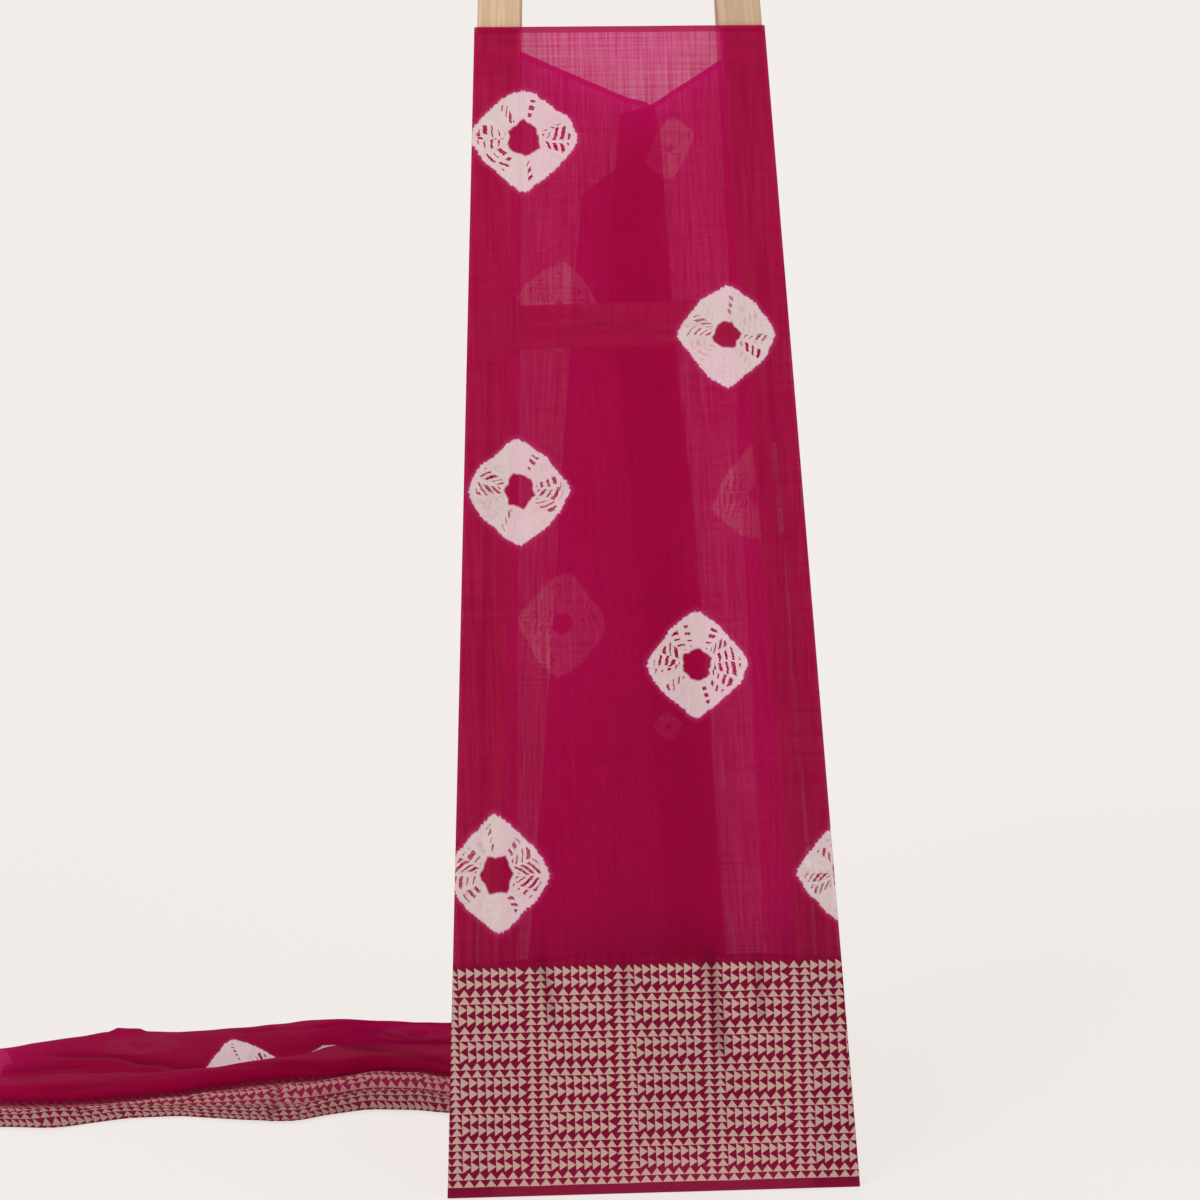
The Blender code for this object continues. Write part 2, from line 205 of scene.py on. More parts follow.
# name, turn, place in the grain pattern, tone. The uprights' tones are painted light and shade: the left
# one lighter and the right one darker, as the key light falls from the left
BOARDS = (
    ("left_upright", (-LEAN, SPLAY, 0), (0.1, 0, 0), 1.03),
    ("right_upright", (-LEAN, -SPLAY, 0), (0.7, 0.4, 0.2), 0.89),
    ("front_rail", (0, math.pi / 2, 0), (0.3, 0.9, 0), 0.95),
    ("top_rail", (0, math.pi / 2, 0), (0.2, 0.1, 0.6), 1.0),
    ("left_rear_leg", (REAR_SLOPE, REAR_SPLAY, 0), (0.8, 0.2, 0.1), 0.97),
    ("right_rear_leg", (REAR_SLOPE, -REAR_SPLAY, 0), (0.5, 0.6, 0.3), 1.0),
    ("rear_rail", (0, math.pi / 2, 0), (0.9, 0.5, 0.4), 0.94),
)
for name, turn, offset, tone in BOARDS:
    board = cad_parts[name]
    board.data.materials.clear()
    board.data.materials.append(wood(f"wood of the {name.replace('_', ' ')}", turn, offset, tone))


# The cloth: one sheer length at 44 inches loom width, wrapped once round the uprights, gathered at
# one point behind, hanging from there and trailing on the floor. Its rows run along its length and
# its columns across the loom width, both through the solid's own folds.
WIDTH = 1.1176
SHEET = 0.0012  # thickness
CLEAR = 0.0027  # from the wood to the middle of the cloth
HALF_FOOT = 0.1963  # half of the front panel's breadth, at the floor and at the top
HALF_TOP = 0.1402
TOP_SLANT = 0.006
FLOOR_GAP = 0.0008
BOARD = 0.041  # an upright's breadth, and its depth
DEPTH = 0.020
ORIGIN = Vector((-0.250, 0.314, 0.0))  # the object's own zero, in stand coordinates
# Height and x of the cut end, of the turn behind and of the hanging part's left edge
CUT_END = ((0.0, 0.030), (0.60, 0.005), (0.95, -0.018), (1.1176, -0.002))
TURN_LINE = ((0.0, 0.078), (0.23, 0.072), (0.68, 0.056), (0.85, 0.043), (1.1176, 0.033))
HANG_EDGE = ((0.0, -0.085), (0.22, -0.080), (0.80, -0.050), (0.95, -0.040))
# Share of the way from the upright to the point of the V, and how far the flaps' top edges have sunk,
# how far their lower edges have risen and how far the left flap has passed behind the right one
RIGHT_TOP = ((0.0, 0.006), (0.28, 0.033), (0.81, 0.077), (1.0, 0.084))
LEFT_TOP = ((0.0, 0.0), (0.167, 0.0130), (0.333, 0.0265), (0.833, 0.0655), (1.0, 0.0780))
FLAP_LIFT = ((0.0, 0.0), (0.5, 0.018), (1.0, 0.026))
LEFT_STEP = ((0.0, 0.0), (0.25, 0.002), (0.60, 0.0065), (1.0, 0.0065))
TURN_RADIUS = 0.004
# Around this height the front lies closer on the uprights
TOUCH_HEIGHT = 0.97
TOUCH_REACH = 0.11
TOUCH_DEPTH = 0.0015
HANG_TOP = (1.0176, 0.958)  # top of the hanging part, at the turn and at its left edge
# Height and y of the hanging part
PLUMB = ((0.0, 0.278), (0.4, 0.245), (0.95, 0.222), (1.1, 0.222))
PLEAT = 0.005  # depth of the hanging part's pleats
# share of the way, how far the top edge has sunk, how far it has moved aside, how far it is folded
FALL = (
    (0.00, 0.00, 0.00, 0.00),
    (0.10, 0.16, 0.06, 0.01),
    (0.20, 0.33, 0.13, 0.03),
    (0.30, 0.49, 0.20, 0.06),
    (0.40, 0.63, 0.28, 0.11),
    (0.50, 0.75, 0.37, 0.18),
    (0.60, 0.84, 0.47, 0.28),
    (0.70, 0.91, 0.58, 0.41),
    (0.80, 0.95, 0.71, 0.58),
    (0.90, 0.98, 0.85, 0.78),
    (1.00, 1.00, 1.00, 1.00),
)
# x, near edge, roll's front, crease, ridge, the ridge's height, the border's first and second fold
TAIL = (
    (-0.696, 0.286, 0.356, 0.384, 0.442, 0.043, 0.014, 0.010),
    (-0.670, 0.283, 0.351, 0.383, 0.448, 0.045, 0.012, 0.008),
    (-0.610, 0.273, 0.349, 0.386, 0.469, 0.046, 0.018, 0.008),
    (-0.555, 0.297, 0.353, 0.382, 0.481, 0.050, 0.014, 0.009),
    (-0.520, 0.305, 0.364, 0.381, 0.473, 0.046, 0.011, 0.010),
    (-0.480, 0.303, 0.375, 0.387, 0.483, 0.046, 0.009, 0.010),
    (-0.425, 0.282, 0.404, 0.415, 0.498, 0.046, 0.008, 0.010),
    (-0.370, 0.271, 0.414, 0.437, 0.513, 0.046, 0.009, 0.012),
    (-0.325, 0.294, 0.418, 0.475, 0.508, 0.047, 0.013, 0.015),
    (-0.270, 0.310, 0.445, 0.470, 0.500, 0.046, 0.015, 0.016),
    (-0.215, 0.286, 0.409, 0.464, 0.492, 0.045, 0.014, 0.015),
    (-0.165, 0.278, 0.402, 0.458, 0.486, 0.044, 0.012, 0.012),
)
# Heights that the rows of the section are drawn with, and the reach of its folds behind their anchors
RIDGE = 0.046
FOLD = 0.012
LYING = 0.004
UNDER_ROLL = 0.003
NOSE = 0.013
TUCK = 0.016
BACK_FOLD = 0.035
FAR_EDGE = 0.100
# zone, share of the zone, height
SECTION = (
    ("border", 0.42, 0.0010),
    ("border", 0.20, 0.0010),
    ("border", 0.03, 0.0014),
    ("border", 0.00, 0.0045),
    ("first", 0.09, 0.0090),
    ("first", 0.22, 0.0120),
    ("first", 0.38, 0.0085),
    ("border", 0.48, 0.0045),
    ("second", 0.60, 0.0090),
    ("second", 0.74, 0.0120),
    ("second", 0.88, 0.0085),
    ("border", 0.99, 0.0045),
    ("under", 0.05, 0.0020),
    ("under", 0.45, 0.0010),
    ("under", 0.93, 0.0010),
    ("under", 1.00, 0.0035),
    ("under", 0.94, 0.0065),
    ("under", 0.50, 0.0066),
    ("under", 0.16, 0.0068),
    ("under", 0.10, 0.0098),
    ("under", 0.18, 0.0120),
    ("under", 0.60, 0.0118),
    ("under", 0.94, 0.0122),
    ("under", 1.00, 0.0150),
    ("under", 0.92, 0.0176),
    ("under", 0.50, 0.0174),
    ("under", 0.16, 0.0172),
    ("roll", 0.013, 0.0125),
    ("roll", 0.006, 0.0085),
    ("roll", 0.000, 0.0100),
    ("roll", -0.002, 0.0150),
    ("roll", 0.000, 0.0210),
    ("roll", 0.005, 0.0260),
    ("crease", 0.002, 0.0280),
    ("crease", 0.008, 0.0265),
    ("crease", 0.011, 0.0225),
    ("crease", 0.016, 0.0205),
    ("top", 0.12, 0.0230),
    ("top", 0.38, 0.0320),
    ("top", 0.70, 0.0415),
    ("top", 1.00, 0.0460),
    ("far", 0.28, 0.0370),
    ("far", 0.52, 0.0240),
    ("far", 0.68, 0.0110),
    ("far", 0.78, 0.0040),
    ("far", 0.90, 0.0010),
    ("far", 1.00, 0.0010),
)
COLUMNS = {"right_flap": 5, "left_flap": 6, "hanging": 5, "fall": 10, "tail": 13}


def table(rows, at):
    """The value at a place in a table of (place, value) rows."""
    places, values = zip(*rows)
    return float(np.interp(at, places, values))


def ease(t):
    t = min(max(t, 0.0), 1.0)
    return t * t * (3 - 2 * t)


def mix(a, b, t):
    return a + (b - a) * t


def half_width(v):
    return mix(HALF_FOOT, HALF_TOP, v / WIDTH)


def lean_point(x, out, v):
    """A point v up the leaning front plane, and out in front of the uprights' face."""
    y = v * math.sin(LEAN) - out * math.cos(LEAN)
    z = v * math.cos(LEAN) + out * math.sin(LEAN)
    return Vector((x, y, z))


def tail_anchors(x):
    """The tail's folds at x."""
    x = min(max(x, TAIL[0][0]), TAIL[-1][0])
    return [table([(line[0], line[k]) for line in TAIL], x) for k in range(1, len(TAIL[0]))]


def tail_point(x, row):
    """A point of the tail's section at x."""
    near, front, crease, ridge, height, first, second = tail_anchors(x)
    zone, share, z = SECTION[row]
    border_end = front - UNDER_ROLL
    y = {
        "border": mix(near, border_end, share),
        "first": mix(near, border_end, share),
        "second": mix(near, border_end, share),
        "under": mix(front + NOSE, ridge + BACK_FOLD, share),
        "roll": front + share,
        "crease": crease + share,
        "top": mix(crease + TUCK, ridge, share),
        "far": ridge + FAR_EDGE * share,
    }[zone]
    raised = {"first": first / FOLD, "second": second / FOLD, "top": height / RIDGE, "far": height / RIDGE}
    if z > LYING:
        z *= raised.get(zone, 1.0)
    return Vector((x, y, z))


def row_heights():
    """How far each row lies from the border's edge across the loom width."""
    points = [tail_point(-0.49, k) for k in range(len(SECTION))]
    along = np.cumsum([0.0] + [(b - a).length for a, b in zip(points, points[1:])])
    return [float(WIDTH * s / along[-1]) for s in along]


def wrapped_row(v):
    """(x, out, drop, lift) across the wrapped cloth at v, from the cut end to the turn."""
    wood_half = half_width(v) - CLEAR - SHEET / 2
    back = -(DEPTH + CLEAR)
    row = []
    for k in range(COLUMNS["right_flap"]):
        share = 1 - k / COLUMNS["right_flap"]
        x = mix(wood_half, table(CUT_END, v), share)
        row.append((x, back, table(RIGHT_TOP, share), table(FLAP_LIFT, share)))
    diagonal = CLEAR * math.sqrt(0.5)
    corner = (
        (0, back),
        (diagonal, -DEPTH - diagonal),
        (CLEAR, -DEPTH),
        (CLEAR, 0),
        (diagonal, diagonal),
        (0, CLEAR),
    )
    row += [(wood_half + a, out, TOP_SLANT, 0.0) for a, out in corner]
    inner = wood_half - BOARD
    touch = CLEAR - TOUCH_DEPTH * ease(1 - abs(v - TOUCH_HEIGHT) / TOUCH_REACH)
    for x, out in (
        (wood_half - BOARD / 2, touch),
        (inner, CLEAR),
        (inner / 2, CLEAR),
        (0.0, CLEAR),
        (-inner / 2, CLEAR),
        (-inner, CLEAR),
        (BOARD / 2 - wood_half, touch),
    ):
        row.append((x, out, TOP_SLANT * (0.5 + 0.5 * x / wood_half), 0.0))
    row += [(-wood_half - a, out, 0.0, 0.0) for a, out in reversed(corner)]
    turn = table(TURN_LINE, v)
    for k in range(1, COLUMNS["left_flap"] + 1):
        share = k / COLUMNS["left_flap"]
        out = back - table(LEFT_STEP, share)
        row.append((mix(-wood_half, turn, share), out, table(LEFT_TOP, share), table(FLAP_LIFT, share)))
    behind = row[-1][1] - TURN_RADIUS
    for k in range(1, 5):
        angle = math.radians(45 * k)
        x = turn + TURN_RADIUS * math.sin(angle)
        row.append((x, behind + TURN_RADIUS * math.cos(angle), WIDTH - HANG_TOP[0], FLAP_LIFT[-1][1]))
    return row


def hanging_point(v, share):
    """The part that hangs behind, from the turn, at share 0, to its left side."""
    lift = mix(FLAP_LIFT[-1][1], 0.0, ease(share))
    height = lift + v / WIDTH * (mix(*HANG_TOP, share) - lift)
    back = DEPTH + CLEAR + LEFT_STEP[-1][1] + 2 * TURN_RADIUS
    leaning = lean_point(0.0, -back, height)
    x = mix(table(TURN_LINE, v), table(HANG_EDGE, leaning.z), share)
    plumb = table(PLUMB, leaning.z)
    y = mix(leaning.y, plumb, ease(share)) + PLEAT * math.sin(share * 4 * math.pi) * ease(3 * share)
    return Vector((x, y, leaning.z))


def fall_point(v, row, share):
    """The part that sinks from the hanging edge, at share 0, to the tail's first section."""
    sink, aside, fold = (table([(line[0], line[k]) for line in FALL], share) for k in (1, 2, 3))
    hang = hanging_point(v, 1.0)
    lying = tail_point(TAIL[-1][0], row)
    z = max(hang.z * (1 - sink) + lying.z * fold, FLOOR_GAP)
    x = mix(table(HANG_EDGE, z), lying.x, aside)
    return Vector((x, mix(table(PLUMB, z), lying.y, fold), z))


def cloth_cage():
    """Rows of points along the cloth, from the cut end behind to the tail's end."""
    rows = []
    for row, v in enumerate(row_heights()):
        points = [
            lean_point(x, out, lift + v / WIDTH * (WIDTH - drop - lift))
            for x, out, drop, lift in wrapped_row(v)
        ]
        steps = COLUMNS["hanging"]
        points += [hanging_point(v, k / steps) for k in range(1, steps + 1)]
        for point in points:
            point.z = max(point.z, FLOOR_GAP)
        steps = COLUMNS["fall"]
        points += [fall_point(v, row, k / steps) for k in range(1, steps + 1)]
        steps = COLUMNS["tail"]
        points += [tail_point(mix(TAIL[-1][0], TAIL[0][0], k / steps), row) for k in range(1, steps + 1)]
        rows.append([tuple(point) for point in points])
    return np.array(rows)


def smooth_through(places, values, at):
    """A curve through values at places, read at other places, that never swings past a value."""
    places = np.asarray(places)
    gaps = np.diff(places)
    shape = (-1,) + (1,) * (values.ndim - 1)
    slopes = np.diff(values, axis=0) / gaps.reshape(shape)
    before, after = slopes[:-1], slopes[1:]
    weight_a = (2 * gaps[1:] + gaps[:-1]).reshape(shape)
    weight_b = (gaps[1:] + 2 * gaps[:-1]).reshape(shape)
    same_way = before * after > 0
    safe_before = np.where(same_way, before, 1.0)
    safe_after = np.where(same_way, after, 1.0)
    mean = (weight_a + weight_b) / (weight_a / safe_before + weight_b / safe_after)
    tangents = np.concatenate([slopes[:1], np.where(same_way, mean, 0.0), slopes[-1:]])
    k = np.clip(np.searchsorted(places, at, side="right") - 1, 0, len(gaps) - 1)
    gap = gaps[k].reshape(shape)
    t = ((at - places[k]) / gaps[k]).reshape(shape)
    return (
        values[k] * (1 + 2 * t) * (1 - t) ** 2
        + tangents[k] * gap * t * (1 - t) ** 2
        + values[k + 1] * t**2 * (3 - 2 * t)
        + tangents[k + 1] * gap * t**2 * (t - 1)
    )


def split(places, step):
    """Places with each gap split into at least two equal steps, none longer than step."""
    found = [places[0]]
    for a, b in zip(places, places[1:]):
        count = max(2, math.ceil((b - a) / step))
        found += [a + (b - a) * k / count for k in range(1, count + 1)]
    return np.array(found)


CELL = 0.0055  # most faces are smaller than this
cage = cloth_cage()
heights = np.array(row_heights())
steps = np.linalg.norm(np.diff(cage, axis=1), axis=2)
lengths = np.concatenate([[0.0], np.cumsum(np.maximum(steps[:10].mean(axis=0), 0.0008))])
fine_along = split(lengths, CELL)
fine_across = split(heights, CELL)
points = smooth_through(heights, cage, fine_across)
points = smooth_through(lengths, points.swapaxes(0, 1), fine_along).swapaxes(0, 1)
v_of = np.repeat(fine_across[:, None], len(fine_along), axis=1)

# How far each point lies from the front's middle along the cloth. Past the hanging edge all rows
# share the lengths of the border, so that the tail's pattern isn't drawn askew.
FRONT_COLUMNS = (10, 18)  # columns of the cage, as the next two
FRONT_MIDDLE = 14
HANG_END = len(wrapped_row(0)) + COLUMNS["hanging"] - 1
fine_steps = np.linalg.norm(np.diff(points, axis=1), axis=2)
run = np.concatenate([np.zeros((len(points), 1)), np.cumsum(fine_steps, axis=1)], axis=1)
middle = int(np.argmin(abs(fine_along - lengths[FRONT_MIDDLE])))
hang_end = int(np.argmin(abs(fine_along - lengths[HANG_END])))
u_of = run[:, middle, None] - run
past = fine_along > fine_along[hang_end]
u_of[:, past] = u_of[:, hang_end, None] - (fine_along[past] - fine_along[hang_end])


# Creases of the front panel: x and v of both ends, depth (raised where positive), breadth
CREASES = (
    (-0.142, 1.108, -0.060, 1.101, -0.0016, 0.0028),
    (-0.142, 1.098, -0.080, 1.088, 0.0014, 0.0028),
    (-0.143, 1.088, -0.090, 1.078, -0.0016, 0.0026),
    (-0.143, 1.070, -0.100, 1.076, -0.0015, 0.0030),
    (-0.144, 1.052, -0.112, 1.058, 0.0011, 0.0030),
    (0.141, 1.102, 0.080, 1.094, -0.0015, 0.0028),
    (0.142, 1.090, 0.095, 1.083, 0.0013, 0.0028),
    (0.142, 1.074, 0.100, 1.078, -0.0014, 0.0026),
    (0.143, 1.056, 0.112, 1.062, -0.0010, 0.0028),
    (-0.040, 0.835, 0.045, 0.818, -0.0017, 0.0024),
    (0.030, 0.822, 0.075, 0.829, -0.0013, 0.0022),
    (-0.010, 0.790, 0.030, 0.775, -0.0013, 0.0020),
    (0.015, 0.762, 0.050, 0.772, -0.0012, 0.0020),
    (-0.060, 0.640, -0.020, 0.610, -0.0011, 0.0028),
    (0.020, 0.600, 0.070, 0.622, -0.0011, 0.0026),
    (-0.020, 0.560, 0.030, 0.556, -0.0010, 0.0022),
    (-0.050, 0.405, 0.000, 0.420, -0.0011, 0.0028),
    (0.000, 0.372, 0.050, 0.366, -0.0009, 0.0024),
    (-0.100, 0.228, -0.091, 0.165, -0.0034, 0.0050),
    (-0.079, 0.222, -0.077, 0.155, 0.0022, 0.0065),
    (0.060, 0.228, 0.068, 0.130, -0.0046, 0.0060),
    (0.086, 0.222, 0.087, 0.140, 0.0024, 0.0065),
    (0.104, 0.228, 0.108, 0.160, -0.0030, 0.0048),
    (-0.018, 0.224, -0.024, 0.175, -0.0018, 0.0050),
    (0.030, 0.222, 0.026, 0.180, 0.0014, 0.0065),
)
SLACK = 0.0009  # soft unevenness of the stretched panel
SLACK_SIZE = 0.06  # from one swell to the next
# Creases of the tail, in the same columns
TAIL_CREASES = (
    (-0.640, 0.930, -0.530, 0.897, -0.0030, 0.0060),
    (-0.545, 0.901, -0.468, 0.876, -0.0030, 0.0050),
    (-0.620, 0.905, -0.520, 0.885, 0.0020, 0.0070),
    (-0.700, 0.900, -0.600, 0.892, -0.0022, 0.0050),
    (-0.578, 0.975, -0.545, 0.975, 0.0060, 0.0120),
    (-0.320, 0.935, -0.215, 0.890, -0.0036, 0.0060),
    (-0.300, 0.912, -0.200, 0.872, 0.0030, 0.0070),
    (-0.360, 0.945, -0.290, 0.960, -0.0024, 0.0050),
    (-0.450, 0.955, -0.370, 0.945, -0.0016, 0.0060),
    (-0.640, 0.822, -0.500, 0.836, -0.0022, 0.0050),
    (-0.440, 0.838, -0.330, 0.815, -0.0026, 0.0050),
    (-0.330, 0.848, -0.210, 0.822, -0.0034, 0.0050),
    (-0.389, 0.040, -0.392, 0.128, -0.0040, 0.0026),
    (-0.376, 0.050, -0.378, 0.120, 0.0020, 0.0060),
    (-0.350, 0.082, -0.300, 0.074, -0.0030, 0.0060),
    (-0.590, 0.050, -0.560, 0.078, -0.0030, 0.0050),
    (-0.760, 0.863, -0.150, 0.863, -0.0026, 0.0050),
    (-0.760, 0.081, -0.150, 0.080, -0.0016, 0.0045),
)
TAIL_LIFT = (0.0, -0.35, 0.94)  # the way in which these lift the cloth


def crease_depth(x, v, crease):
    """How far a crease lifts the cloth at each x and v."""
    x0, v0, x1, v1, depth, breadth = crease
    length = math.hypot(x1 - x0, v1 - v0)
    ahead = ((x - x0) * (x1 - x0) + (v - v0) * (v1 - v0)) / length
    beside = ((v - v0) * (x1 - x0) - (x - x0) * (v1 - v0)) / length
    fade = np.clip(np.minimum(ahead, length - ahead) / (0.3 * length) + 0.5, 0, 1)
    return depth * np.exp(-((beside / breadth) ** 2)) * fade * fade * (3 - 2 * fade)


def slack(point, size):
    return noise.noise(Vector(point) / size)


outward = np.array(lean_point(0, 1, 0))
front_from, front_to = (int(np.argmin(abs(fine_along - lengths[k]))) for k in FRONT_COLUMNS)
panel = points[:, front_from:front_to]
panel_v = v_of[:, front_from:front_to]
lift = sum(crease_depth(panel[:, :, 0], panel_v, crease) for crease in CREASES)
lift += SLACK * np.array(
    [
        [slack((x, 0.5 * v, 7.3), SLACK_SIZE) for x, v in zip(*line)]
        for line in zip(panel[:, :, 0], panel_v)
    ]
)
points[:, front_from:front_to] += lift[:, :, None] * outward
hollow = np.zeros(v_of.shape)
hollow[:, front_from:front_to] = -lift

tail = points[:, hang_end:]
tail_lift = sum(crease_depth(tail[:, :, 0], v_of[:, hang_end:], crease) for crease in TAIL_CREASES)
points[:, hang_end:] += tail_lift[:, :, None] * np.array(TAIL_LIFT)
hollow[:, hang_end:] = -tail_lift
HOLLOW_FULL = 0.0035  # creases of this depth are shaded most
hollow = np.clip(hollow / HOLLOW_FULL, 0, 1)

# The tail's folds are uneven from place to place; neighbouring layers shift together
RUMPLE = 0.0035
for row in range(len(points)):
    for column in range(hang_end, len(fine_along)):
        x, y, z = points[row, column]
        amount = RUMPLE * min(1.0, z / 0.012) * min(1.0, (column - hang_end) / 12)
        points[row, column, 1] += amount * slack((x, y, z), 0.045)
        points[row, column, 2] += 0.6 * amount * slack((x, y, z + 3.0), 0.035)

bpy.ops.object.select_all(action="DESELECT")
bpy.ops.mesh.primitive_grid_add(
    x_subdivisions=len(fine_along) - 1, y_subdivisions=len(fine_across) - 1, size=1.0
)
cloth = bpy.context.object
cloth.name = "sheer_cloth"
flat_places = np.empty(len(cloth.data.vertices) * 3)
cloth.data.vertices.foreach_get("co", flat_places)
flat_places = flat_places.reshape(-1, 3)
column_of = np.rint((flat_places[:, 0] + 0.5) * (len(fine_along) - 1)).astype(int)
row_of = np.rint((flat_places[:, 1] + 0.5) * (len(fine_across) - 1)).astype(int)
placed = points[row_of, column_of] - np.array(ORIGIN)
placed[:, 2] = np.maximum(placed[:, 2], 0.0003)
cloth.data.vertices.foreach_set("co", placed.ravel())
cloth.data.update()
cloth.data.shade_smooth()


# The dye: pale diamonds, tied off before the cloth was dyed. Each has a dark eye and dashes where the
# thread was wound. Every face of the cloth knows the nearest one, by its place within it.
# u, v, half breadth, half height, eye's size
DIAMONDS = [
    (-0.095, 1.009, 0.0530, 0.0520, 0.30),
    (0.094, 0.817, 0.0480, 0.0500, 0.27),
    (-0.109, 0.670, 0.0490, 0.0530, 0.30),
    (0.056, 0.501, 0.0490, 0.0520, 0.29),
    (-0.140, 0.305, 0.0490, 0.0570, 0.32),
    (0.193, 0.299, 0.0480, 0.0520, 0.30),
    (0.222, 0.676, 0.0540, 0.0520, 0.27),
    (0.277, 1.058, 0.0270, 0.0330, 0.16),
    (0.342, 0.460, 0.0140, 0.0150, 0.24),
    (-0.266, 0.872, 0.0440, 0.0480, 0.16),
    (-0.288, 0.551, 0.0440, 0.0540, 0.22),
    (-0.400, 0.985, 0.0500, 0.0520, 0.29),
    (-0.415, 0.665, 0.0490, 0.0510, 0.30),
]
# Those on the tail: x on the floor, v, half breadth, half height, eye's size. The tuck behind the roll
# hides what lies below TUCK_V
TAIL_DIAMONDS = (
    (-0.428, 0.864, 0.0400, 0.0700, 0.18),
    (-0.338, 0.836, 0.0400, 0.0540, 0.22),
    (-0.250, 1.060, 0.0480, 0.0460, 0.28),
    (-0.560, 1.060, 0.0480, 0.0460, 0.27),
)
TUCK_V = 0.866


def u_at(x, v):
    """How far along the cloth a place of the tail lies."""
    row = int(np.argmin(abs(fine_across - v)))
    xs = points[row, hang_end:, 0]
    return float(u_of[row, hang_end + int(np.argmin(abs(xs - x)))])


FRONT_AND_BACK = len(DIAMONDS)
DIAMONDS += [(u_at(x, v), v, breadth, height, eye) for x, v, breadth, height, eye in TAIL_DIAMONDS]

# Little light reaches the bottom of a crease; this attribute paints that shade into the colour
shaded = cloth.data.attributes.new("hollow", "FLOAT", "POINT")
shaded.data.foreach_set("value", hollow[row_of, column_of].astype(np.float32))

corner_points = np.empty(len(cloth.data.loops), dtype=np.int32)
cloth.data.loops.foreach_get("vertex_index", corner_points)
corner_u = u_of[row_of, column_of][corner_points]
corner_v = v_of[row_of, column_of][corner_points]
face_u = corner_u.reshape(-1, 4).mean(axis=1)
face_v = corner_v.reshape(-1, 4).mean(axis=1)
marks = np.array(DIAMONDS)
distance = np.hypot(
    (face_u[:, None] - marks[:, 0]) / marks[:, 2], (face_v[:, None] - marks[:, 1]) / marks[:, 3]
)
distance[face_v < TUCK_V, FRONT_AND_BACK:] = np.inf
nearest = np.repeat(distance.argmin(axis=1), 4)
near_u = (corner_u - marks[nearest, 0]) / marks[nearest, 2]
near_v = (corner_v - marks[nearest, 1]) / marks[nearest, 3]
for name, across, up in (
    ("weave", corner_u, corner_v),
    ("mark", near_u, near_v),
    ("mark_kind", nearest * 1.37 + 0.5, marks[nearest, 4]),
):
    layer = cloth.data.uv_layers.get(name) or cloth.data.uv_layers.new(name=name)
    layer.data.foreach_set("uv", np.stack([across, up], axis=1).astype(np.float32).ravel())
for layer in [layer for layer in cloth.data.uv_layers if layer.name not in ("weave", "mark", "mark_kind")]:
    cloth.data.uv_layers.remove(layer)


resist, taken, given = new_group(
    "tied diamond",
    [("Place", "Vector", None), ("Seed", "Float", 0.0), ("Eye", "Float", 0.3)],
    [("Pale", "Float"), ("Rim", "Float"), ("Pleats", "Float")],
)
seed = taken.outputs["Seed"]
eye_size = taken.outputs["Eye"]
parts = resist.nodes.new("ShaderNodeSeparateXYZ")
resist.links.new(taken.outputs["Place"], parts.inputs[0])
a, b = parts.outputs["X"], parts.outputs["Y"]
squares = [calc(resist, "MULTIPLY", part, part) for part in (a, b)]
radius = calc(resist, "SQRT", calc(resist, "ADD", *squares))
angle = calc(resist, "ARCTAN2", b, a)
level_way = calc(resist, "ABSOLUTE", calc(resist, "COSINE", angle))
CORNER = 1.30  # 1 would be a sharp diamond and 2 an ellipse
powers = [calc(resist, "POWER", calc(resist, "ABSOLUTE", part), CORNER) for part in (a, b)]
outline = calc(resist, "POWER", calc(resist, "ADD", *powers), 1 / CORNER)

# Each diamond reads its own slice of the noise
heading = joined(resist, calc(resist, "COSINE", angle), calc(resist, "SINE", angle), seed)
own_place = joined(resist, a, b, seed)
wobble = calc(resist, "SUBTRACT", noise_of(resist, heading, 1.5, 1.0), 0.5)
bite = calc(resist, "SUBTRACT", noise_of(resist, heading, 17.0, 2.0), 0.5)
fray = calc(resist, "SUBTRACT", noise_of(resist, own_place, 22.0, 1.0), 0.5)
edge = calc(resist, "MULTIPLY_ADD", wobble, 0.26, outline)
edge = calc(resist, "MULTIPLY_ADD", bite, 0.10, edge)
edge = calc(resist, "MULTIPLY_ADD", fray, 0.05, edge)
inside = calc(resist, "SUBTRACT", 1.0, ramp(resist, edge, 0.960, 1.0))
rim = calc(resist, "SUBTRACT", 1.0, ramp(resist, edge, 1.0, 1.10))
rim = calc(resist, "MULTIPLY", rim, calc(resist, "SUBTRACT", 1.0, inside))

# The eye is an uneven polygon
SIDES = 6
side = calc(resist, "MULTIPLY_ADD", angle, SIDES / (2 * math.pi), SIDES)
side = calc(resist, "FRACT", calc(resist, "ADD", side, seed))
off_middle = calc(resist, "SUBTRACT", side, 0.5)
facet = calc(resist, "COSINE", calc(resist, "MULTIPLY", off_middle, 2 * math.pi / SIDES))
eye_edge = calc(resist, "MULTIPLY", radius, facet)
eye_edge = calc(resist, "MULTIPLY_ADD", wobble, -0.17, eye_edge)
past_eye = calc(resist, "SUBTRACT", eye_edge, eye_size)
eye = calc(resist, "SUBTRACT", 1.0, ramp(resist, past_eye, -0.045, 0.005))

# Dashes: the circle is cut in sectors, some of which hold a ladder of short bars across the way out.
# Most of them lie level with the eye; those above and below it are thin
SECTORS = 16
BARS = 7.6  # to one half breadth
CLEAR_OF_EYE = 0.05
CLEAR_OF_EDGE = 0.86
turned = calc(resist, "MULTIPLY_ADD", angle, SECTORS / (2 * math.pi), SECTORS)
own_turn = calc(resist, "SINE", calc(resist, "MULTIPLY", seed, 5.3))
turned = calc(resist, "ADD", turned, calc(resist, "MULTIPLY", own_turn, 0.3))
sector = calc(resist, "FLOOR", turned)
within = calc(resist, "SUBTRACT", calc(resist, "FRACT", turned), 0.5)


def chance(*values):
    """A random number for each sector, bar and seed."""
    node = resist.nodes.new("ShaderNodeTexWhiteNoise")
    resist.links.new(joined(resist, *values), node.inputs["Vector"])
    return node.outputs["Value"]


